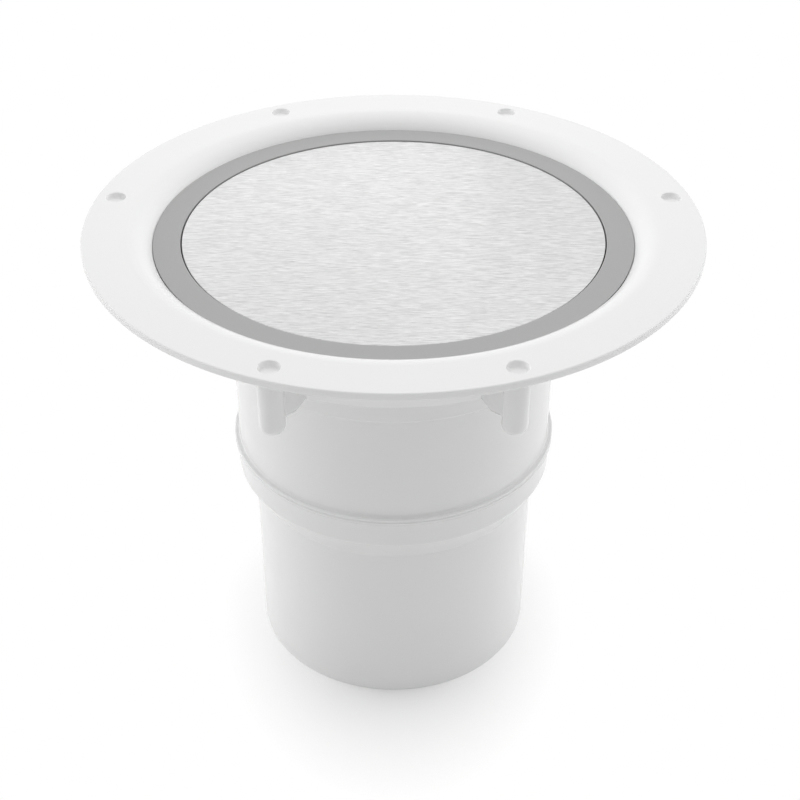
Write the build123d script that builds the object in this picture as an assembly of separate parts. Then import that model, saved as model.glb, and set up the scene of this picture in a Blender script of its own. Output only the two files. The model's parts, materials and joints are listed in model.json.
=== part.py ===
from build123d import *
import os
from math import cos, radians, sqrt, tan

# Floor drain for sheet flooring: a flanged body welded to a pipe spigot, a clamp ring and a
# solid cover plate in its bowl, and a lift-out water trap below them.
# Millimetres and degrees. Z is up and the origin is the centre of the spigot's lower end.

# Outlet: pipe spigot, shoulder and band, up to the weld
spigot_r = 55.0
spigot_length = 71.0
shoulder_height = 10.5
band_height = 10.0
band_step = 0.7
wall = 3.0
pipe_edge = 0.8

# Weld between outlet and body: one thin lip on each
lip_thickness = 1.5
lip_step = 1.8
lip_edge = 0.4

# Body: cylinder, collar, conical bowl and flange
cylinder_r = 60.5
cylinder_height = 44.5
collar_step = 4.25
collar_height = 18.0
collar_edge = 0.8
collar_lead_in = 2.0
bowl_depth = 26.5
bowl_angle = 22.0
bowl_lip_r = 10.0
bowl_edge = 1.0
flange_width = 22.2
flange_thickness = 3.0
flange_edge = 0.5

# Screw places: round recesses in the flange over solid bosses, in pairs spread about the Y axis
boss_r = 4.2
boss_depth = 24.3
boss_end = 2.0
screw_edge_distance = 7.25
screw_angles = (9.0, 63.35, 116.65, 171.0, 248.55, 291.45)
recess_r = 3.65
recess_depth = 2.2
recess_edge = 0.4
web_thickness = 3.0
web_rise = 6.0
web_flat = 8.0

# Cover plate and clamp ring
plate_r = 76.1
plate_thickness = 1.5
plate_edge = 0.3
plate_gap = 0.35
plate_recess = 0.35
ring_recess = 5.15
ring_top_width = 9.85
ring_thickness = 3.0
ring_gap = 0.15
ring_edge = 0.4
rib_count = 8
rib_width = 4.0
rib_reach = 4.5
rib_nose = 3.0

# Water trap: funnel with dip tube, cup and seal
trap_clearance = 0.4
trap_wall = 2.0
funnel_height = 14.5
funnel_ring_width = 4.7
funnel_cone_rise = 3.5
funnel_cone_drop = 16.5
tube_r = 24.0
water_seal = 50.0
weir_drop = 30.5
cup_r = 38.5
cup_floor_gap = 15.0
cup_corner = 5.0
bar_width = 10.0
bar_thickness = 3.0
bar_inset = 1.0
bar_root = 1.0
seal_height = 4.0
seal_depth = 2.2
seal_base = 1.5
seal_clearance = 0.1
seal_from_seat = 5.0

# Snap hooks that hold the cup on the funnel's skirt
hook_angles = (90.0, 210.0, 330.0)
hook_width = 12.0
hook_height = 4.0
hook_reach = 2.2
hook_clearance = 0.5
arm_width = 14.0
skirt_drop = 20.5
window_sill = 2.5

# Heights that follow from the stack
shoulder_z = spigot_length
band_z = shoulder_z + shoulder_height
outlet_lip_z = band_z + band_height
weld_z = outlet_lip_z + lip_thickness
cylinder_z = weld_z + lip_thickness
collar_z = cylinder_z + cylinder_height
bowl_z = collar_z + collar_height
flange_z = bowl_z + bowl_depth
seat_z = collar_z + wall
floor_z = bowl_z + wall
ring_z = flange_z - ring_recess
plate_z = ring_z - plate_recess
plate_under_z = plate_z - plate_thickness

# Radii that follow from the fits
bore_r = cylinder_r - wall
collar_r = cylinder_r + collar_step
collar_bore_r = collar_r - wall
lip_r = cylinder_r + lip_step
band_r = cylinder_r + band_step
ring_inner_r = plate_r + plate_gap
ring_outer_r = ring_inner_r + ring_top_width
slant = tan(radians(bowl_angle))
along = 1 / cos(radians(bowl_angle))


def bowl_r(z):
    """Inside radius of the bowl's cone at height z, one ring gap outside the clamp ring."""
    return ring_outer_r + ring_gap * along + (z - ring_z) * slant


flange_r = bowl_r(flange_z) + flange_width
screw_circle_r = flange_r - screw_edge_distance

# Trap levels and radii, all taken from the seat inside the body
funnel_r = collar_bore_r - trap_clearance
funnel_top_z = seat_z + funnel_height
mouth_r = funnel_r - funnel_ring_width
cone_top_z = seat_z + funnel_cone_rise
cone_bottom_z = seat_z - funnel_cone_drop
cone_slope = (cone_top_z - cone_bottom_z) / (mouth_r - tube_r)
weir_z = seat_z - weir_drop
tube_end_z = weir_z - water_seal
tube_outer_r = tube_r + trap_wall
cup_outer_r = cup_r + trap_wall
skirt_r = cup_outer_r + hook_clearance
skirt_outer_r = skirt_r + trap_wall
skirt_z = seat_z - skirt_drop
sill_z = skirt_z + window_sill
groove_z = seat_z + seal_from_seat
groove_r = funnel_r - seal_depth


def cone_under_z(r):
    """Height of the funnel's underside at radius r: the cone set back by the trap's wall."""
    return cone_top_z - (mouth_r - r) * cone_slope - trap_wall * sqrt(1 + cone_slope**2)


def corner(section, point):
    """The vertex of a flat section that lies nearest to an (r, z) point."""
    return section.vertices().sort_by_distance(Vector(*point))[0]


def turned(points, rounds=(), breaks=()):
    """Solid of revolution about Z from (r, z) corners.

    rounds and breaks hold (radius or length, [corner, ...]) pairs: arcs and 45 degree edges.
    """
    section = make_face(Polyline(*points, close=True))
    for radius, places in rounds:
        section = fillet([corner(section, place) for place in places], radius)
    for length, places in breaks:
        section = chamfer([corner(section, place) for place in places], length)
    return revolve(Plane.XZ * section, Axis.Z)


def radial_plate(points, thickness):
    """Flat plate in the XZ plane from (r, z) corners, centred on that plane."""
    return extrude(Plane.XZ * make_face(Polyline(*points, close=True)), thickness / 2, both=True)


def around(shape, angles):
    """Copies of a shape that lies along +X, turned about Z to each angle."""
    return [Rot(0, 0, angle) * shape for angle in angles]


def outlet_spigot():
    """Lower half of the weld, band, conical shoulder and plain pipe spigot."""
    rim = [(lip_r, weld_z), (lip_r, outlet_lip_z)]
    end = [(spigot_r, 0), (spigot_r - wall, 0)]
    points = [
        *rim,
        (band_r, outlet_lip_z),
        (band_r, band_z),
        (spigot_r, shoulder_z),
        *end,
        (spigot_r - wall, shoulder_z),
        (bore_r, band_z),
        (bore_r, weld_z),
    ]
    return turned(points, breaks=[(lip_edge, rim), (pipe_edge, end)])


def body_shell():
    """Flange, bowl, collar and cylinder as one turned wall."""
    skin = wall * along
    under_z = flange_z - flange_thickness
    rim = [(flange_r, flange_z), (flange_r, under_z)]
    lip = [(lip_r, cylinder_z), (lip_r, weld_z)]
    mouth = (bowl_r(flange_z), flange_z)
    bowl_foot = (bowl_r(bowl_z) + skin, bowl_z)
    collar_foot = (collar_r, collar_z)
    collar_mouth = (collar_bore_r, floor_z)
    points = [
        *rim,
        (bowl_r(under_z) + skin, under_z),
        bowl_foot,
        (collar_r, bowl_z),
        collar_foot,
        (cylinder_r, collar_z),
        (cylinder_r, cylinder_z),
        *lip,
        (bore_r, weld_z),
        (bore_r, seat_z),
        (collar_bore_r, seat_z),
        collar_mouth,
        (bowl_r(floor_z), floor_z),
        mouth,
    ]
    breaks = [
        (flange_edge, rim),
        (lip_edge, lip),
        (bowl_edge, [bowl_foot]),
        (collar_edge, [collar_foot]),
        (collar_lead_in, [collar_mouth]),
    ]
    return turned(points, rounds=[(bowl_lip_r, [mouth])], breaks=breaks)


def screw_boss():
    """Solid boss with a bevelled end and the web that ties it to the bowl, along +X."""
    root_z = flange_z - flange_thickness / 2
    end = (boss_r, flange_z - boss_depth)
    half_section = [(0, root_z), (boss_r, root_z), end, (0, flange_z - boss_depth)]
    post = Pos(screw_circle_r, 0, 0) * turned(half_section, breaks=[(boss_end, [end])])
    into_wall = wall / 2
    web = [
        (screw_circle_r, root_z),
        (screw_circle_r, bowl_z + web_rise),
        (bowl_r(bowl_z) + wall + web_flat, bowl_z),
        (bowl_r(bowl_z) + into_wall, bowl_z),
        (bowl_r(root_z) + into_wall, root_z),
    ]
    return post + radial_plate(web, web_thickness)


def screw_recess():
    """Flat-bottomed round recess with a broken upper edge, along +X."""
    points = [
        (0, flange_z),
        (recess_r + recess_edge, flange_z),
        (recess_r, flange_z - recess_edge),
        (recess_r, flange_z - recess_depth),
        (0, flange_z - recess_depth),
    ]
    return Pos(screw_circle_r, 0, 0) * turned(points)


def drain_body():
    """The body moulding: turned shell with its bosses, webs and screw recesses."""
    shell = body_shell() + around(screw_boss(), screw_angles)
    return shell - around(screw_recess(), screw_angles)


def clamp_ring():
    """Conical ring that stands on the bowl's floor; its ribs carry the cover plate."""
    skin = ring_thickness * along
    under_z = ring_z - ring_thickness

    def outer_r(z):
        return bowl_r(z) - ring_gap * along

    rim = [(ring_inner_r, ring_z), (ring_outer_r, ring_z)]
    points = [
        *rim,
        (outer_r(floor_z), floor_z),
        (outer_r(floor_z) - skin, floor_z),
        (outer_r(under_z) - skin, under_z),
        (ring_inner_r, under_z),
    ]
    ring = turned(points, breaks=[(ring_edge, rim)])
    nose_r = ring_inner_r - rib_reach
    rib = [
        (nose_r, plate_under_z),
        (ring_inner_r, plate_under_z),
        (outer_r(under_z) - skin / 2, under_z + ring_thickness / 2),
        (outer_r(floor_z) - skin / 2, floor_z),
        (outer_r(floor_z) - skin, floor_z),
        (nose_r, plate_under_z - rib_nose),
    ]
    step = 360 / rib_count
    return ring + around(radial_plate(rib, rib_width), [step * i for i in range(rib_count)])


def cover_plate():
    """Solid disc with a broken upper edge."""
    rim = (plate_r, plate_z)
    points = [(0, plate_z), rim, (plate_r, plate_under_z), (0, plate_under_z)]
    return turned(points, breaks=[(plate_edge, [rim])])


def trap_funnel():
    """Seat ring with seal groove, cone, dip tube, lift bar and the skirt that carries the cup."""
    groove_top_z = groove_z + seal_height
    foot_r = mouth_r - (cone_under_z(mouth_r) - seat_z) / cone_slope
    points = [
        (funnel_r, seat_z),
        (funnel_r, groove_z),
        (groove_r, groove_z),
        (groove_r, groove_top_z),
        (funnel_r, groove_top_z),
        (funnel_r, funnel_top_z),
        (mouth_r, funnel_top_z),
        (mouth_r, cone_top_z),
        (tube_r, cone_bottom_z),
        (tube_r, tube_end_z),
        (tube_outer_r, tube_end_z),
        (tube_outer_r, cone_under_z(tube_outer_r)),
        (foot_r, seat_z),
    ]
    into_cone = trap_wall / 2
    skirt = [
        (skirt_r, skirt_z),
        (skirt_outer_r, skirt_z),
        (skirt_outer_r, cone_under_z(skirt_outer_r) + into_cone),
        (skirt_r, cone_under_z(skirt_r) + into_cone),
    ]
    bar_z = funnel_top_z - bar_inset - bar_thickness / 2
    bar_length = 2 * (mouth_r + bar_root)
    bar = Pos(0, 0, bar_z) * Box(bar_length, bar_width, bar_thickness)
    window_height = hook_height + hook_clearance
    window = Pos(skirt_r + trap_wall / 2, 0, sill_z + window_height / 2) * Box(
        2 * trap_wall, hook_width + 2 * hook_clearance, window_height
    )
    return turned(points) + turned(skirt) + bar - around(window, hook_angles)


def trap_cup():
    """Cup with three upright arms whose hooks hang on the sills of the skirt's windows."""
    floor_top_z = tube_end_z - cup_floor_gap
    base = (cup_outer_r, floor_top_z - trap_wall)
    points = [
        (0, floor_top_z),
        (cup_r, floor_top_z),
        (cup_r, weir_z),
        (cup_outer_r, weir_z),
        base,
        (0, floor_top_z - trap_wall),
    ]
    cup = turned(points, breaks=[(cup_corner, [base]), (cup_corner - trap_wall / 2, [points[1]])])
    arm_top_z = sill_z + hook_height
    below_weir = weir_z - trap_wall
    band = [(cup_r, below_weir), (cup_outer_r, below_weir), (cup_outer_r, arm_top_z), (cup_r, arm_top_z)]
    arm_height = arm_top_z - below_weir
    sector = Pos(cup_r, 0, below_weir + arm_height / 2) * Box(4 * trap_wall, arm_width, arm_height)
    into_arm = trap_wall / 2
    hook = [
        (cup_outer_r - into_arm, sill_z),
        (cup_outer_r + hook_reach, sill_z),
        (cup_outer_r, arm_top_z),
        (cup_outer_r - into_arm, arm_top_z),
    ]
    arm = (turned(band) & sector) + radial_plate(hook, hook_width)
    return cup + around(arm, hook_angles)


def trap_seal():
    """Rubber ring in the funnel's groove, with a lip that meets the collar's bore."""
    inner_r = groove_r + seal_clearance
    base_r = inner_r + seal_base
    lip = (collar_bore_r - seal_clearance, groove_z + seal_height / 2)
    points = [
        (inner_r, groove_z),
        (base_r, groove_z),
        lip,
        (base_r, groove_z + seal_height),
        (inner_r, groove_z + seal_height),
    ]
    return turned(points)


pieces = {
    "drain_body": drain_body,
    "outlet_spigot": outlet_spigot,
    "clamp_ring": clamp_ring,
    "cover_plate": cover_plate,
    "trap_funnel": trap_funnel,
    "trap_cup": trap_cup,
    "trap_seal": trap_seal,
}

os.makedirs("parts", exist_ok=True)
for name, make in pieces.items():
    export_step(make(), f"parts/{name}.step")
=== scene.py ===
# %% [markdown]
# # A floor drain for sheet flooring
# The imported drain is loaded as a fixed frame. It gives the levels and radii that everything is built on, so
# nothing is fitted by eye: the white body and its outlet, the grey clamp ring and the brushed cover are
# drawn again as fine surfaces over the same outlines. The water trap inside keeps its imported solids, because
# no one sees it under the closed cover, and gets a finish of its own.

# %% Load the drain
import json
import math

import bpy
import numpy as np
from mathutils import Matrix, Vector

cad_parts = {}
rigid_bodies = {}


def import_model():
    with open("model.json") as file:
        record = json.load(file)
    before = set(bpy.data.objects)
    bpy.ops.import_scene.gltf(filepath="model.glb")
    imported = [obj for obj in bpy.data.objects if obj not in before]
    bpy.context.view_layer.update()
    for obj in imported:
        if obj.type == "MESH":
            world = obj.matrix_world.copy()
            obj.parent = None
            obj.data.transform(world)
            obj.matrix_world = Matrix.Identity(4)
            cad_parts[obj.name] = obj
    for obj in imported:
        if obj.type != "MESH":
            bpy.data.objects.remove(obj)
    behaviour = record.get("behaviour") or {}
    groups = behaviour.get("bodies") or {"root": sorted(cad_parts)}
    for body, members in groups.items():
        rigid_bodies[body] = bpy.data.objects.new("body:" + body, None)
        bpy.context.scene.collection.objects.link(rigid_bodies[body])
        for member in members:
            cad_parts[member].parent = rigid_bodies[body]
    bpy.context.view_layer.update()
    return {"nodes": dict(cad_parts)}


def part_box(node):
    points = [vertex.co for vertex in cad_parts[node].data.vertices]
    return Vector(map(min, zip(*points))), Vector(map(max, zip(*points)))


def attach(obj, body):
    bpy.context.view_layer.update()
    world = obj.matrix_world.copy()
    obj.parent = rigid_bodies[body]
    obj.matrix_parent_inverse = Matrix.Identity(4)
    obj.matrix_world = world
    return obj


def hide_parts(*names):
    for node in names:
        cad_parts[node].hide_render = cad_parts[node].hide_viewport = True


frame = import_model()
MM = 0.001
print("nodes:", ", ".join(sorted(frame["nodes"])))

# %% [markdown]
# ## Levels and radii
# The drain is round about the Z axis and stands on its spigot. Its levels and outer radii could be typed in
# as numbers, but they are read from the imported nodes, so that the drawn surfaces can't drift away from
# them. They are in millimetres, and the mesh builder turns them into metres at the end.

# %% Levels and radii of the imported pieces
def extent(node):
    """Outer radius, lowest level and highest level of a node that is round about Z, in millimetres."""
    low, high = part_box(node)
    return min(high.x, high.y, -low.x, -low.y) / MM, low.z / MM, high.z / MM


flange_r, weld_z, flange_z = extent("drain_body")
lip_r, spigot_end_z, _ = extent("outlet_spigot")
_, bowl_floor_z, ring_z = extent("clamp_ring")
plate_r, plate_under_z, plate_z = extent("cover_plate")
print(f"flange {2 * flange_r:.1f} mm, cover {2 * plate_r:.1f} mm, height {flange_z:.1f} mm")

# %% [markdown]
# ## Camera
# The camera could be moved by eye until the drain looks right. But the picture's circles share one axis, so
# their ellipses give it: a lens about 64 mm long on a 36 mm sensor, in front of the drain and above its
# flange, looking down. The drain stands a little left of the picture's middle, which is a small sideways
# shift of the lens.

# %% Camera at the picture's viewing angle
camera_distance, camera_above_flange, camera_pitch = 457.1, 241.3, 35.10
camera_data = bpy.data.cameras.new("camera")
camera_data.sensor_width = 36.0
camera_data.lens = 64.3
camera_data.shift_x = 0.008
camera = bpy.data.objects.new("camera", camera_data)
camera.location = (0, -camera_distance * MM, (flange_z + camera_above_flange) * MM)
camera.rotation_euler = (math.radians(90 - camera_pitch), 0, 0)
bpy.context.scene.collection.objects.link(camera)
bpy.context.scene.camera = camera
print("camera at", [round(v, 3) for v in camera.location])

# %% [markdown]
# ## Sizes of the body
# The body is one moulding: flange, bowl, collar and cylinder. Its walls and steps are the ones the drain is
# built with. The bowl's cone follows from the ring that it holds: cover, hairline gap, the ring's flat top
# and a small clearance, all measured outwards from the cover's edge.

# %% Walls, steps and the bowl's cone
wall, flange_thickness = 3.0, 3.0
lip_step, lip_thickness = 1.8, 1.5
collar_step, cylinder_height = 4.25, 44.5
cylinder_r = lip_r - lip_step
bore_r = cylinder_r - wall
collar_r = cylinder_r + collar_step
body_lip_z = weld_z + lip_thickness
collar_z = body_lip_z + cylinder_height
seat_z = collar_z + wall
bowl_z = bowl_floor_z - wall
under_z = flange_z - flange_thickness

plate_gap, ring_top_width, ring_gap = 0.35, 9.85, 0.15
ring_inner_r = plate_r + plate_gap
ring_outer_r = ring_inner_r + ring_top_width
bowl_angle = math.radians(22)


def bowl_r(z):
    """Inside radius of the bowl: a cone that widens by tan(bowl angle) per millimetre of height."""
    return ring_outer_r + ring_gap / math.cos(bowl_angle) + (z - ring_z) * math.tan(bowl_angle)


print(f"bowl {2 * bowl_r(bowl_floor_z):.1f} mm at its floor, {2 * bowl_r(flange_z):.1f} mm at the flange")

# %% [markdown]
# ## Section of the body
# Moulded plastic has no sharp edges: every corner of the section has a small radius, and those radii catch
# the thin light lines that make the object read as real. A bevel modifier could round them, but working out
# the arcs gives exact normals too, so wide flat faces stay flat in the shading. The section is walked once
# round, starting where the flange's top bends into the bowl, so the flange's top is the last stretch.

# %% Rounded outline of the body
def rounded(corners, closed=True, steps=8):
    """Outline from (r, z, radius) corners with an arc at each one; the solid lies to the left of the way.

    Where the way turns by the angle a, an arc of radius q starts q tan(|a| / 2) before the corner, and
    its outward normal swings evenly by a. A point of the arc is its start plus q times the change of the
    normal, with the sign of the turn. An open outline keeps its two end points as they are.
    """
    table = np.asarray(corners, float)
    place, radius = table[:, :2], table[:, 2]
    ahead = np.roll(place, -1, 0) - place
    ahead /= np.linalg.norm(ahead, axis=1, keepdims=True)
    behind = np.roll(ahead, 1, 0)
    cross = behind[:, 0] * ahead[:, 1] - behind[:, 1] * ahead[:, 0]
    turn = np.arctan2(cross, (behind * ahead).sum(1))
    start = place - behind * (radius * np.tan(np.abs(turn) / 2))[:, None]
    first_facing = np.arctan2(-behind[:, 0], behind[:, 1])
    swing = first_facing[:, None] + turn[:, None] * np.linspace(0, 1, steps + 1)
    normal = np.stack([np.cos(swing), np.sin(swing)], -1)
    point = start[:, None] + (np.sign(turn) * radius)[:, None, None] * (normal - normal[:, :1])
    if closed:
        return point.reshape(-1, 2), normal.reshape(-1, 2)
    point = np.concatenate([place[:1], point[1:-1].reshape(-1, 2), place[-1:]])
    normal = np.concatenate([normal[:1, -1], normal[1:-1].reshape(-1, 2), normal[-1:, 0]])
    return point, normal


bowl_lip = 10.0
bowl_skin = wall / math.cos(bowl_angle)
body_outline = rounded([
    (bowl_r(flange_z), flange_z, bowl_lip),
    (bowl_r(bowl_floor_z), bowl_floor_z, 0.3),
    (collar_r - wall, bowl_floor_z, 2.0),
    (collar_r - wall, seat_z, 0.4),
    (bore_r, seat_z, 0.4),
    (bore_r, weld_z, 0.3),
    (lip_r, weld_z, 0.55),
    (lip_r, body_lip_z, 0.55),
    (cylinder_r, body_lip_z, 0.8),
    (cylinder_r, collar_z, 1.0),
    (collar_r, collar_z, 0.9),
    (collar_r, bowl_z, 2.0),
    (bowl_r(bowl_z) + bowl_skin, bowl_z, 1.2),
    (bowl_r(under_z) + bowl_skin, under_z, 2.0),
    (flange_r, under_z, 1.0),
    (flange_r, flange_z, 0.6),
])
print("body section:", len(body_outline[0]), "points")

# %% [markdown]
# ## Places of the screws
# Six screws hold the flange down, unevenly spaced. Cutting their recesses with a boolean would leave long
# thin faces on the flange, so a square patch of cells is left out of the flange round each recess instead.
# The body's columns are spaced so that every patch is made of whole cells.

# %% Columns round the body
screw_angles = np.radians([9.0, 63.35, 116.65, 171.0, 248.55, 291.45])
screw_inset = 7.25
screw_circle_r = flange_r - screw_inset
screw_places = screw_circle_r * np.stack([np.cos(screw_angles), np.sin(screw_angles)], -1)
patch_half, patch_cells, column_step = 5.2, 8, math.radians(1.6)


def body_columns():
    """Angles of the body's columns, and the number of the first column of each patch.

    A patch has even cells across its width, and the columns between two patches are evenly spaced too.
    """
    half = patch_half / screw_circle_r
    inside = half * np.linspace(-1, 1, patch_cells + 1)
    following = np.append(screw_angles[1:], screw_angles[0] + 2 * np.pi)
    columns, starts = [], []
    for angle, after in zip(screw_angles, following):
        starts.append(sum(map(len, columns)))
        count = int((after - angle - 2 * half) / column_step)
        columns += [angle + inside, np.linspace(angle + half, after - half, count + 1)[1:-1]]
    return np.concatenate(columns), starts


column_angles, patch_starts = body_columns()
print(f"{len(column_angles)} columns round the body, {len(patch_starts)} patches")

# %% [markdown]
# ## Screw recesses
# Each recess is shallow and round, with a soft lip, a slightly sloped wall and a flat bottom. It is an
# outline turned about its own centre, which starts a little outside the lip. It gets one column for each
# point on the rim of its patch, so that the two grids meet point to point.

# %% Section of a recess
recess_r, recess_depth, recess_lip = 3.65, 2.2, 0.4
recess_slope, recess_floor_edge = 0.7, 0.7
recess_start_r = recess_r + 1.2 * recess_lip
recess_floor_z = flange_z - recess_depth
recess_outline = rounded([
    (recess_start_r, flange_z, 0),
    (recess_r, flange_z, recess_lip),
    (recess_r - recess_slope, recess_floor_z, recess_floor_edge),
    (0, recess_floor_z, 0),
], closed=False, steps=6)
print(f"recess {2 * recess_r:.1f} mm wide and {recess_depth:.1f} mm deep")

# %% [markdown]
# ## Surfaces as grids
# A turned surface is a grid: its rows are the points of an outline and its columns are angles round the
# axis. The Spin tool makes the same shape, but whole arrays are quicker and carry the normals along.

# %% Grids carried round an axis
def swing_round(values, angles):
    """(r, z) rows carried round Z: at the angle a, (r, z) becomes (r cos a, r sin a, z)."""
    ring = np.stack([np.cos(angles), np.sin(angles)], -1)
    flat = values[:, None, :1] * ring
    level = np.broadcast_to(values[:, None, 1:], flat.shape[:2] + (1,))
    return np.concatenate([flat, level], -1)


def quads(rows, columns, close_rows=False, close_columns=True):
    """Corner numbers of every cell of a grid, as a (rows, columns, 4) array; a closed side wraps round."""
    i, j = np.meshgrid(
        np.arange(rows - (not close_rows)), np.arange(columns - (not close_columns)), indexing="ij"
    )
    below, beside = (i + 1) % rows, (j + 1) % columns
    cells = [i * columns + j, i * columns + beside, below * columns + beside, below * columns + j]
    return np.stack(cells, -1)


print("cells round one row of the body:", quads(2, len(column_angles)).shape[1])

# %% [markdown]
# ## Flange, bowl and cylinder
# The body's section is swung round the axis, with extra rows on the flange's top that frame the patches.
# The cells of each patch are dropped, and a recess takes their place.

# %% Body with its recesses
def recess_surface(centre, rim_numbers, rim_points, first):
    """One recess: its outline turned about its centre, with a column at the angle of each rim point.

    A row of cells joins the rim, whose points keep their numbers on the body, to the outermost ring, and
    a fan of triangles closes the bottom. The recess's own points are numbered from first on.
    """
    outline, facing = recess_outline
    away = rim_points[:, :2] - centre
    angles = np.arctan2(away[:, 1], away[:, 0])
    points = swing_round(outline[:-1], angles).reshape(-1, 3) + [*centre, 0]
    points = np.concatenate([points, [[*centre, recess_floor_z]]])
    normals = np.concatenate([swing_round(facing[:-1], angles).reshape(-1, 3), [[0, 0, 1]]])
    rings, count = len(outline) - 1, len(rim_numbers)
    around = np.arange(count)
    beside = (around + 1) % count
    join = np.stack([rim_numbers, rim_numbers[beside], first + beside, first + around], -1)
    last = first + (rings - 1) * count
    fan = np.stack([last + around, last + beside, np.full(count, first + rings * count)], -1)
    return points, normals, [join, first + quads(rings, count).reshape(-1, 4), fan]


def body_surface():
    """The body's section swung round Z, with a patch left open and a recess set in at each screw."""
    patch_r = screw_circle_r - patch_half * np.linspace(-1, 1, patch_cells + 1)
    patch_rows = np.stack([patch_r, np.full(patch_cells + 1, flange_z)], -1)
    points = np.concatenate([body_outline[0], patch_rows])
    normals = np.concatenate([body_outline[1], np.tile([0.0, 1.0], (patch_cells + 1, 1))])
    first_row, columns = len(body_outline[0]), len(column_angles)
    grid = swing_round(points, column_angles).reshape(-1, 3)
    shine = swing_round(normals, column_angles).reshape(-1, 3)
    cells = quads(len(points), columns, close_rows=True)
    keep = np.ones(cells.shape[:2], bool)
    side, flat = np.arange(patch_cells), np.zeros(patch_cells, int)
    rim_row = first_row + np.concatenate([flat, side, flat + patch_cells, patch_cells - side])
    rim_column = np.concatenate([side, flat + patch_cells, patch_cells - side, flat])
    faces = []
    for centre, start in zip(screw_places, patch_starts):
        keep[first_row:first_row + patch_cells, start:start + patch_cells] = False
        numbers = rim_row * columns + rim_column + start
        more, more_shine, more_faces = recess_surface(centre, numbers, grid[numbers], len(grid))
        grid = np.concatenate([grid, more])
        shine = np.concatenate([shine, more_shine])
        faces += more_faces
    return grid, shine, [cells[keep], *faces]


shell = body_surface()
print("shell of the body:", len(shell[0]), "points")

# %% [markdown]
# ## Bosses
# Under each recess a blind boss hangs from the flange and takes the screw. It is a round post with a rounded
# end and a small flare at its root, so its outline is turned about its own axis, as on a lathe. The root
# reaches a little way into the flange, where it can't be seen.

# %% Bosses under the flange
def lathe(outline, closed=True, columns=240, centre=(0, 0)):
    """Surface of revolution of an outline; a point on the axis becomes one pole with a fan of triangles."""
    points, normals = outline
    angles = np.arange(columns) * 2 * np.pi / columns
    pole = points[:, 0] < 1e-6
    grid = swing_round(points[~pole], angles).reshape(-1, 3)
    shine = swing_round(normals[~pole], angles).reshape(-1, 3)
    rows = int((~pole).sum())
    faces = [quads(rows, columns, closed).reshape(-1, 4)]
    around = np.arange(columns)
    beside = (around + 1) % columns
    for at_end in (0, -1):
        if pole[at_end]:
            tip = np.full(columns, len(grid))
            ring = (rows - 1) * columns if at_end else 0
            fan = [ring + around, ring + beside, tip] if at_end else [tip, ring + beside, ring + around]
            faces.append(np.stack(fan, -1))
            grid = np.concatenate([grid, [[0, 0, points[at_end, 1]]]])
            shine = np.concatenate([shine, [[0, 0, normals[at_end, 1]]]])
    return grid + [*centre, 0], shine, faces


boss_r, boss_depth, boss_end_r, boss_flare = 4.2, 24.3, 3.0, 0.9
root_reach, flare_reach = 0.4, 0.05
root_z, flare_z = under_z + root_reach, under_z + flare_reach
flare_r = boss_r + boss_flare + flare_reach
boss_end_z = flange_z - boss_depth
boss_outline = rounded([
    (0, boss_end_z, 0),
    (boss_r, boss_end_z, boss_end_r),
    (boss_r, flare_z, boss_flare),
    (flare_r, flare_z, flare_reach / 2),
    (flare_r, root_z, flare_reach),
    (0, root_z, 0),
], closed=False, steps=6)
bosses = [lathe(boss_outline, closed=False, columns=48, centre=place) for place in screw_places]
print(f"{len(bosses)} bosses, {2 * boss_r:.1f} mm across")

# %% [markdown]
# ## Webs
# A thin web ties each boss to the bowl. A bevelled box would leave its slanted ends to cut, so it is a narrow
# loop carried along the radius: flat sides, a round lower edge, a lower line that runs level from the bowl's
# floor and then rises to the boss, and an upper line that stays hidden in the bowl's wall and the flange.

# %% Webs between the bowl and the bosses
def rib_surface(angle, radii, tops, bottoms, thickness, steps=6):
    """A thin upright plate along the radius: a loop of flat sides and a round lower edge at each radius.

    The loop goes down one side, round the lower edge on a half circle of half the thickness, and up the
    other side; both ends are closed with one face.
    """
    half = thickness / 2
    swing = np.linspace(0, np.pi, steps + 1)
    across = np.concatenate([[half], half * np.cos(swing), [-half]])
    rise = np.concatenate([[0.0], half * (1 - np.sin(swing)), [0.0]])
    is_top = np.array([True] + [False] * (steps + 1) + [True])
    level = np.where(is_top[:, None], tops, bottoms + rise[:, None])
    flat = np.stack([np.broadcast_to(v, level.shape) for v in (radii, across[:, None])], -1)
    turn = np.array([[math.cos(angle), math.sin(angle)], [-math.sin(angle), math.cos(angle)]])
    points = np.concatenate([flat @ turn, level[..., None]], -1)
    lower_edge = np.stack([0 * swing, np.cos(swing), -np.sin(swing)], -1)
    facing = np.concatenate([[[0, 1, 0]], lower_edge, [[0, -1, 0]]])
    facing[:, :2] = facing[:, :2] @ turn
    normals = np.broadcast_to(facing[:, None], points.shape)
    rows, columns = level.shape
    loop = np.arange(rows) * columns
    caps = [loop[None, ::-1], (loop + columns - 1)[None]]
    sides = quads(rows, columns, close_rows=True, close_columns=False).reshape(-1, 4)
    return points.reshape(-1, 3), normals.reshape(-1, 3), [sides, *caps]


web_thickness, web_rise, web_level = 3.0, 6.0, 8.0
web_least_height = 0.6 * web_thickness
web_inner_r = bowl_r(bowl_z) + wall / 2
web_bend_r = bowl_r(bowl_z) + wall + web_level
web_radii = np.linspace(web_inner_r, screw_circle_r, 24)
web_bottoms = np.interp(web_radii, [web_bend_r, screw_circle_r], [bowl_z, bowl_z + web_rise])
inside_wall_z = bowl_z + (web_radii - web_inner_r) / math.tan(bowl_angle)
web_tops = np.clip(inside_wall_z, bowl_z + web_least_height, root_z)
webs = [rib_surface(angle, web_radii, web_tops, web_bottoms, web_thickness) for angle in screw_angles]
print(f"{len(webs)} webs, {web_thickness:.1f} mm thick")

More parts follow.
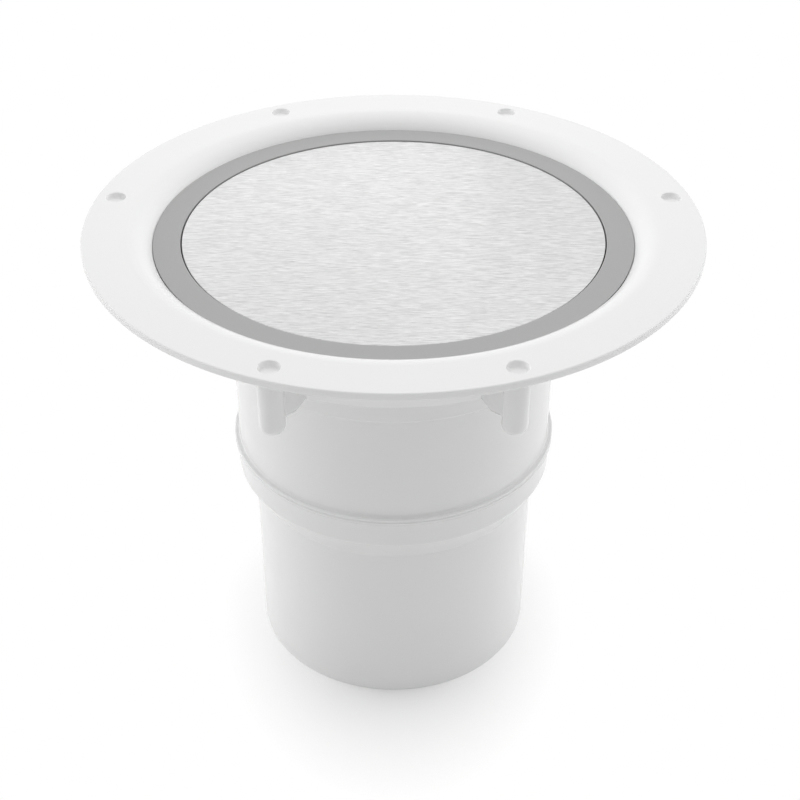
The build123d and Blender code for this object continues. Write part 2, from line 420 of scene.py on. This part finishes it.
# %% [markdown]
# ## From surfaces to a mesh
# The body is made of several surfaces. They could be separate objects that are joined, but it is simpler to
# stack them into one mesh in a single step. Unused points are dropped, and the worked-out normals go in as
# custom normals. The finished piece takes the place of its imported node.

# %% Mesh builder and the body
def make_piece(name, surfaces, node):
    """One mesh object from (points, normals, faces) surfaces in millimetres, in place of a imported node."""
    shift = np.cumsum([0] + [len(points) for points, _, _ in surfaces])
    points = np.concatenate([s[0] for s in surfaces])
    normals = np.concatenate([s[1] for s in surfaces])
    groups = [np.asarray(g) + start for s, start in zip(surfaces, shift) for g in s[2]]
    used, number = np.unique(np.concatenate([g.ravel() for g in groups]), return_inverse=True)
    numbers = np.split(number.ravel(), np.cumsum([g.size for g in groups])[:-1])
    faces = [face for g, n in zip(groups, numbers) for face in n.reshape(g.shape).tolist()]
    mesh = bpy.data.meshes.new(name)
    mesh.from_pydata((points[used] * MM).tolist(), [], faces)
    mesh.polygons.foreach_set("use_smooth", np.ones(len(faces), bool))
    mesh.normals_split_custom_set_from_vertices(normals[used].tolist())
    piece = bpy.data.objects.new(name, mesh)
    bpy.context.scene.collection.objects.link(piece)
    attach(piece, "root")
    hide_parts(node)
    print(f"{name}: {len(mesh.vertices)} points, {len(faces)} faces")
    return piece


body = make_piece("body", [shell, *bosses, *webs], "drain_body")

# %% [markdown]
# ## Outlet
# The outlet is a second moulding, welded to the body. The two thin lips of the weld meet face to face, and
# their rounded edges leave the fine dark line between them. Below them come the band, the sloped shoulder
# and the spigot that goes into the pipe, all in one turned outline.

# %% Outlet with its shoulder and spigot
spigot_r, spigot_length = 55.0, 71.0
shoulder_height, band_height, band_step = 10.5, 10.0, 0.7
shoulder_z = spigot_end_z + spigot_length
band_z = shoulder_z + shoulder_height
outlet_lip_z = band_z + band_height
band_r = cylinder_r + band_step
outlet = make_piece("outlet", [lathe(rounded([
    (bore_r, weld_z, 0.3),
    (bore_r, band_z, 2.5),
    (spigot_r - wall, shoulder_z, 2.5),
    (spigot_r - wall, spigot_end_z, 0.5),
    (spigot_r, spigot_end_z, 0.5),
    (spigot_r, shoulder_z, 2.0),
    (band_r, band_z, 2.0),
    (band_r, outlet_lip_z, 0.6),
    (lip_r, outlet_lip_z, 0.55),
    (lip_r, weld_z, 0.55),
]))], "outlet_spigot")

# %% [markdown]
# ## Clamp ring
# The ring wedges sheet flooring against the bowl. It has a flat top, a conical skirt that stands on the
# bowl's floor, and ribs under the top whose inner ends carry the cover. The ring is turned, and its ribs are
# made as the webs are.

# %% Clamp ring with its ribs
ring_thickness = 3.0
ring_skin = ring_thickness / math.cos(bowl_angle)
ring_under_z = ring_z - ring_thickness


def skirt_r(z):
    """Outside radius of the ring: the bowl's cone less the clearance."""
    return bowl_r(z) - ring_gap / math.cos(bowl_angle)


rib_count, rib_width, rib_reach, rib_nose = 8, 4.0, 4.5, 3.0
rib_inner_r = ring_inner_r - rib_reach
rib_radii = np.linspace(rib_inner_r, skirt_r(bowl_floor_z) - ring_skin / 2, 12)
rib_tops = np.full_like(rib_radii, plate_under_z)
rib_bottoms = np.interp(
    rib_radii, [rib_inner_r, skirt_r(bowl_floor_z) - ring_skin], [plate_under_z - rib_nose, bowl_floor_z],
)
ring_ribs = [
    rib_surface(2 * np.pi * i / rib_count, rib_radii, rib_tops, rib_bottoms, rib_width)
    for i in range(rib_count)
]
clamp_ring = make_piece("clamp_ring_top", [lathe(rounded([
    (ring_inner_r, ring_z, 0.3),
    (ring_inner_r, ring_under_z, 0.4),
    (skirt_r(ring_under_z) - ring_skin, ring_under_z, 1.0),
    (skirt_r(bowl_floor_z) - ring_skin, bowl_floor_z, 0.4),
    (skirt_r(bowl_floor_z), bowl_floor_z, 0.4),
    (ring_outer_r, ring_z, 0.25),
])), *ring_ribs], "clamp_ring")

# %% [markdown]
# ## Cover plate
# The cover is a solid disc of stainless sheet whose edges are broken after cutting. A cylinder with a bevel
# would do, but a turned outline with two poles matches the other pieces.

# %% Cover plate
cover = make_piece("cover", [lathe(rounded([
    (0, plate_under_z, 0),
    (plate_r, plate_under_z, 0.2),
    (plate_r, plate_z, 0.4),
    (0, plate_z, 0),
], closed=False), closed=False)], "cover_plate")

# %% [markdown]
# ## Direction of the brushing
# A brushed metal's gloss is stretched across its scratches, so the shader has to know which way they run.
# A UV map tells it: U runs across the brushing, along Y, and V runs along it, with the map's middle on the
# cover's centre.

# %% Brushing map on the cover
cover_points = np.empty(3 * len(cover.data.vertices), np.float32)
cover.data.vertices.foreach_get("co", cover_points)
corner_numbers = np.empty(len(cover.data.loops), np.int32)
cover.data.loops.foreach_get("vertex_index", corner_numbers)
corner_places = cover_points.reshape(-1, 3)[corner_numbers]
brush_map = cover.data.uv_layers.new(name="brushing")
brush_map.data.foreach_set("uv", (corner_places[:, 1::-1] / (2 * plate_r * MM) + 0.5).ravel())
print("brushing map:", len(corner_numbers), "corners")

# %% [markdown]
# ## Colours and nodes
# Colours are written as sRGB hex values, as a paint chart would give them, and a shader needs them in linear
# light. One small function adds a shader node with its settings and links.

# %% Colour and node helpers
def colour(hex_value):
    """Linear RGBA of an sRGB hex value.

    A channel c becomes ((c + 0.055) / 1.055) to the power 2.4, or c / 12.92 where it is very dark.
    """
    c = np.array([int(hex_value[i:i + 2], 16) / 255 for i in (1, 3, 5)])
    return (*np.where(c <= 0.04045, c / 12.92, ((c + 0.055) / 1.055) ** 2.4), 1.0)


def add(tree, kind, links=None, values=None, **settings):
    """Adds a node: settings are its own properties, values its sockets' constants, links what feeds them."""
    node = tree.nodes.new(kind)
    for key, value in settings.items():
        setattr(node, key, value)
    for key, value in (values or {}).items():
        node.inputs[key].default_value = value
    for key, source in (links or {}).items():
        tree.links.new(source, node.inputs[key])
    return node


def new_material(name):
    """An empty node material and its tree."""
    material = bpy.data.materials.new(name)
    material.use_nodes = True
    material.node_tree.nodes.clear()
    return material, material.node_tree


# A Mix node has an A, a B and a Result for numbers, vectors and colours alike: the colours go by number.
MIX_A, MIX_B, MIX_RESULT = 6, 7, 2
print("#808080 in linear light:", round(colour("#808080")[0], 3))

# %% [markdown]
# ## Moulded polypropylene
# Polypropylene comes out of a polished mould with a soft sheen. Close up it has a very fine grain from the
# tool's surface, slow waves where the melt shrank, and a faint cloudiness in its colour. They could be one
# picture wrapped round the piece, but three noises in Object coordinates have no seam and a known size.

# %% Moulded plastic
# Real grain is about 0.05 mm wide, far too fine for the picture, so it is drawn 0.6 mm wide and shallow.
grain_mm, grain_depth_mm, grain_strength = 0.6, 0.02, 0.12
wave_mm, wave_depth_mm, wave_strength = 35.0, 0.3, 0.25
cloud_mm, sheen_spread = 22.0, 0.04
plastic_ior = 1.49
# A noise seldom leaves these two values, so they are taken for its darkest and its lightest.
noise_low, noise_high = 0.3, 0.7


def moulded_plastic(name, light, dark, roughness):
    """Satin plastic: cloudy colour between two close tones, uneven sheen, fine grain and shallow waves."""
    material, tree = new_material(name)
    place = add(tree, "ShaderNodeTexCoord").outputs["Object"]
    cloud, wave, grain = [
        add(tree, "ShaderNodeTexNoise", {"Vector": place}, {"Scale": 1 / (size * MM), "Detail": detail})
        for size, detail in ((cloud_mm, 3.0), (wave_mm, 1.0), (grain_mm, 2.0))
    ]
    tone = add(
        tree, "ShaderNodeMix", {"Factor": cloud.outputs["Fac"]},
        {MIX_A: colour(dark), MIX_B: colour(light)}, data_type="RGBA",
    )
    sheen = add(
        tree, "ShaderNodeMapRange", {"Value": cloud.outputs["Fac"]},
        {"From Min": noise_low, "From Max": noise_high,
         "To Min": roughness - sheen_spread, "To Max": roughness + sheen_spread},
    )
    slow = add(
        tree, "ShaderNodeBump", {"Height": wave.outputs["Fac"]},
        {"Strength": wave_strength, "Distance": wave_depth_mm * MM},
    )
    fine = add(
        tree, "ShaderNodeBump", {"Height": grain.outputs["Fac"], "Normal": slow.outputs["Normal"]},
        {"Strength": grain_strength, "Distance": grain_depth_mm * MM},
    )
    shader = add(
        tree, "ShaderNodeBsdfPrincipled",
        {
            "Base Color": tone.outputs[MIX_RESULT],
            "Roughness": sheen.outputs["Result"],
            "Normal": fine.outputs["Normal"],
        },
        {"IOR": plastic_ior},
    )
    add(tree, "ShaderNodeOutputMaterial", {"Surface": shader.outputs["BSDF"]})
    print(f"{name}: {light} to {dark}, roughness {roughness}")
    return material


# Body and outlet come from a polished tool and look glossiest. The ring is satin, the trap's plastic is dark
# and duller, and the seal's rubber is nearly matt.
white_plastic = moulded_plastic("moulded_white_polypropylene", "#F2F2F2", "#F0F0F0", 0.22)
grey_plastic = moulded_plastic("moulded_grey_polypropylene", "#ABABAB", "#A8A8A8", 0.42)
trap_plastic = moulded_plastic("moulded_dark_polypropylene", "#55585A", "#4E5153", 0.45)
seal_rubber = moulded_plastic("moulded_seal_rubber", "#1E1E1E", "#191919", 0.7)

# %% [markdown]
# ## Brushed stainless steel
# The cover is brushed in one direction with an abrasive belt. That leaves short overlapping scratches: they
# stretch the gloss across themselves and show as fine light and dark streaks. A photograph of brushed steel
# could be wrapped on, but it would bring its own light along. Two noises, stretched along the brushing and
# laid over each other, give short and long streaks.

# %% Brushed steel
# Real scratches are about 0.05 mm wide, so the streaks are drawn 0.34 mm and 0.25 mm wide to show at all.
streak_sizes_mm = ((3.6, 0.34), (8.5, 0.25))
streak_depth_mm, streak_strength, streak_spread = 0.02, 0.25, 0.06
long_share, streak_low, streak_high = 0.45, 0.32, 0.68
gloss_stretch = 0.6


def brushed_steel(name, light, dark, roughness):
    """Bare steel with streaks along X: two stretched noises drive tone, roughness and a slight bump."""
    material, tree = new_material(name)
    place = add(tree, "ShaderNodeTexCoord").outputs["Object"]
    streaks = []
    for length_mm, width_mm in streak_sizes_mm:
        stretch = (1 / (length_mm * MM), 1 / (width_mm * MM), 1 / (width_mm * MM))
        long_way = add(tree, "ShaderNodeMapping", {"Vector": place}, {"Scale": stretch})
        streaks.append(add(
            tree, "ShaderNodeTexNoise", {"Vector": long_way.outputs["Vector"]},
            {"Scale": 1.0, "Detail": 2.0, "Roughness": 0.6},
        ).outputs["Fac"])
    both = add(
        tree, "ShaderNodeMix", {"A": streaks[0], "B": streaks[1]}, {"Factor": long_share},
    ).outputs["Result"]
    contrast = add(
        tree, "ShaderNodeMapRange", {"Value": both}, {"From Min": streak_low, "From Max": streak_high},
    )
    tone = add(
        tree, "ShaderNodeMix", {"Factor": contrast.outputs["Result"]},
        {MIX_A: colour(dark), MIX_B: colour(light)}, data_type="RGBA",
    )
    rough = add(
        tree, "ShaderNodeMapRange", {"Value": both},
        {"From Min": noise_low, "From Max": noise_high,
         "To Min": roughness + streak_spread, "To Max": roughness - streak_spread},
    )
    bump = add(
        tree, "ShaderNodeBump", {"Height": both},
        {"Strength": streak_strength, "Distance": streak_depth_mm * MM},
    )
    across = add(tree, "ShaderNodeTangent", direction_type="UV_MAP", uv_map="brushing")
    shader = add(
        tree, "ShaderNodeBsdfPrincipled",
        {
            "Base Color": tone.outputs[MIX_RESULT],
            "Roughness": rough.outputs["Result"],
            "Normal": bump.outputs["Normal"],
            "Tangent": across.outputs["Tangent"],
        },
        {"Metallic": 1.0, "Anisotropic": gloss_stretch},
    )
    add(tree, "ShaderNodeOutputMaterial", {"Surface": shader.outputs["BSDF"]})
    print(f"{name}: {light} to {dark}, roughness {roughness}")
    return material


steel = brushed_steel("brushed_stainless_steel", "#E6E6E6", "#B7B7B7", 0.32)

# %% [markdown]
# ## Finishes on the pieces
# Every piece is of one material, so each gets a single finish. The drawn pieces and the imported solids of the
# water trap are treated alike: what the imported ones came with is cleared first.

# %% Finishes
finishes = {
    body: white_plastic,
    outlet: white_plastic,
    clamp_ring: grey_plastic,
    cover: steel,
    frame["nodes"]["trap_funnel"]: trap_plastic,
    frame["nodes"]["trap_cup"]: trap_plastic,
    frame["nodes"]["trap_seal"]: seal_rubber,
}
for piece, finish in finishes.items():
    piece.data.materials.clear()
    piece.data.materials.append(finish)
    print(f"{piece.name}: {finish.name}")

# %% [markdown]
# ## Floor
# The drain stands on a plain floor that fills the picture. One large face is enough, because nothing on it
# bends. It is not attached to the drain's body.

# %% Floor
floor_half = 3.0
floor_corners = [(x * floor_half, y * floor_half, 0) for x, y in ((-1, -1), (1, -1), (1, 1), (-1, 1))]
floor_mesh = bpy.data.meshes.new("floor")
floor_mesh.from_pydata(floor_corners, [], [(0, 1, 2, 3)])
floor = bpy.data.objects.new("floor", floor_mesh)
bpy.context.scene.collection.objects.link(floor)
print(f"floor {2 * floor_half:.0f} m wide")

# %% [markdown]
# ## White paint of the floor
# More light would make the floor white and burn out the drain with it. So the floor glows instead, at a
# strength of 1, and only for rays that look at it: from the camera, in reflections and through clear matter.
# Close round the spigot the glow gives way to matt paint with a little gloss, which shows the shadow.

# %% Floor paint
def seen_directly(tree):
    """1 for rays from the camera, from mirror-like reflections and through clear matter, 0 for soft light."""
    path = add(tree, "ShaderNodeLightPath").outputs
    seen = path["Is Camera Ray"]
    for kind in ("Is Glossy Ray", "Is Transmission Ray"):
        seen = add(tree, "ShaderNodeMath", {0: seen, 1: path[kind]}, operation="MAXIMUM").outputs[0]
    return seen


# The shadow's patch reaches further to the front than to the sides and the back; all three in metres.
shade_side, shade_back, shade_front = 0.062, 0.062, 0.095
shade_reaches = (1 / shade_side, 1 / shade_back, 1), (-1 / shade_side, -1 / shade_front, -1)
glow_from, glow_full, glow_bend = 0.55, 1.16, 0.7
floor_paint, floor_tree = new_material("white_floor")
floor_white, floor_gloss, floor_roughness = {"Color": colour("#FAFAFA")}, 0.15, 0.3
matt = add(floor_tree, "ShaderNodeBsdfDiffuse", values=floor_white)
gloss = add(floor_tree, "ShaderNodeBsdfGlossy", values={**floor_white, "Roughness": floor_roughness})
paint = add(
    floor_tree, "ShaderNodeMixShader", {1: matt.outputs[0], 2: gloss.outputs[0]}, {"Fac": floor_gloss},
)
floor_place = add(floor_tree, "ShaderNodeTexCoord").outputs["Object"]
behind, before = [
    add(floor_tree, "ShaderNodeVectorMath", {0: floor_place}, {1: reach}, operation="MULTIPLY").outputs[0]
    for reach in shade_reaches
]
larger = add(floor_tree, "ShaderNodeVectorMath", {0: behind, 1: before}, operation="MAXIMUM")
away = add(floor_tree, "ShaderNodeVectorMath", {0: larger.outputs[0]}, operation="LENGTH")
fading = add(
    floor_tree, "ShaderNodeMapRange", {"Value": away.outputs["Value"]},
    {"From Min": glow_from, "From Max": glow_full},
)
clear = add(
    floor_tree, "ShaderNodeMath", {0: fading.outputs["Result"]}, {1: glow_bend}, operation="POWER",
)
shown = add(
    floor_tree, "ShaderNodeMath", {0: seen_directly(floor_tree), 1: clear.outputs[0]}, operation="MULTIPLY",
)
glow = add(floor_tree, "ShaderNodeEmission", values={"Strength": 1.0})
floor_surface = add(
    floor_tree, "ShaderNodeMixShader",
    {"Fac": shown.outputs["Value"], 1: paint.outputs[0], 2: glow.outputs[0]},
)
add(floor_tree, "ShaderNodeOutputMaterial", {"Surface": floor_surface.outputs["Shader"]})
floor_mesh.materials.append(floor_paint)
print("floor paint:", len(floor_tree.nodes), "nodes")

# %% [markdown]
# ## Sky
# A studio for white goods has large soft lights beside and behind the object and less light on the viewer's
# side, which gives white plastic its grey front and light edges. A picture of a studio could do this, but
# three broad lobes of light over an even level are easier to steer: one from above and one from behind each
# side. What looks straight at the sky sees plain white.

# %% Sky
# Each lobe has an axis, a power that narrows it and a strength. In any direction it gives its strength times
# a power of the cosine between that direction and the axis, and nothing where the cosine is below 0.
even_light = 0.335
sky_lobes = (
    ((0, 0, 1), 2, 0.62),
    ((-0.93, 0.36, 0.07), 14, 4.8),
    ((0.89, 0.45, 0.07), 14, 4.1),
)
sky = bpy.data.worlds.new("sky")
bpy.context.scene.world = sky
sky.use_nodes = True
sky_tree = sky.node_tree
sky_tree.nodes.clear()
direction = add(sky_tree, "ShaderNodeTexCoord").outputs["Generated"]
# The first lobe is added to the even level, and each of the others to the sum so far.
so_far, base = {}, {2: even_light}
for axis, narrow, strength in sky_lobes:
    facing = add(
        sky_tree, "ShaderNodeVectorMath", {0: direction}, {1: Vector(axis).normalized()},
        operation="DOT_PRODUCT",
    ).outputs["Value"]
    ahead = add(sky_tree, "ShaderNodeMath", {0: facing}, {1: 0.0}, operation="MAXIMUM").outputs[0]
    lobe = add(sky_tree, "ShaderNodeMath", {0: ahead}, {1: narrow}, operation="POWER").outputs[0]
    level = add(
        sky_tree, "ShaderNodeMath", {0: lobe, **so_far}, {1: strength, **base}, operation="MULTIPLY_ADD",
    ).outputs[0]
    so_far, base = {2: level}, {}
sky_white = {"Color": colour("#FFFFFF")}
lighting = add(sky_tree, "ShaderNodeBackground", {"Strength": level}, sky_white)
backdrop = add(sky_tree, "ShaderNodeBackground", values={**sky_white, "Strength": 1.0})
sky_surface = add(
    sky_tree, "ShaderNodeMixShader",
    {"Fac": seen_directly(sky_tree), 1: lighting.outputs["Background"], 2: backdrop.outputs["Background"]},
)
add(sky_tree, "ShaderNodeOutputWorld", {"Surface": sky_surface.outputs["Shader"]})
print(f"sky: {len(sky_lobes)} lobes over an even level of {even_light}")

# %% [markdown]
# ## Lamps
# A soft lamp above the back lifts the far side of the flange. The cover needs two lamps of its own, far
# behind the drain: brushed steel spreads their reflection into a slow change of tone from left to right.
# White plastic would mirror them too, so light linking keeps them to the cover.

# %% Lamps
lamp_aim = Vector((0, 0, 0.12))


def area_lamp(name, place, size, watts, **seen_by):
    """A square lamp at a place in metres, turned to face the middle of the drain.

    seen_by switches the kinds of light it takes part in; the camera never sees it.
    """
    data = bpy.data.lights.new(name, "AREA")
    data.size, data.energy = size, watts
    lamp = bpy.data.objects.new(name, data)
    lamp.location = place
    lamp.rotation_euler = (lamp_aim - lamp.location).to_track_quat("-Z", "Y").to_euler()
    for kind, seen in {"visible_camera": False, **seen_by}.items():
        setattr(lamp, kind, seen)
    bpy.context.scene.collection.objects.link(lamp)
    print(f"{name}: {watts} W")
    return lamp


area_lamp("back_lamp", (0, 0.13, 0.52), 0.3, 0.33, visible_glossy=False)
cover_only = bpy.data.collections.new("cover_only")
cover_only.objects.link(cover)
for name, place, size, watts in (
    ("cover_lamp_left", (-0.17, 1.5, 0.62), 0.6, 0.95),
    ("cover_lamp_right", (0.28, 0.6, 0.68), 0.5, 0.2),
):
    area_lamp(name, place, size, watts).light_linking.receiver_collection = cover_only

# %% [markdown]
# ## View settings
# Blender's usual view transform softens bright tones like film. Standard shows a colour as it is written,
# which suits a white product on a white ground.

# %% View settings
bpy.context.scene.view_settings.view_transform = "Standard"
print("view transform:", bpy.context.scene.view_settings.view_transform)
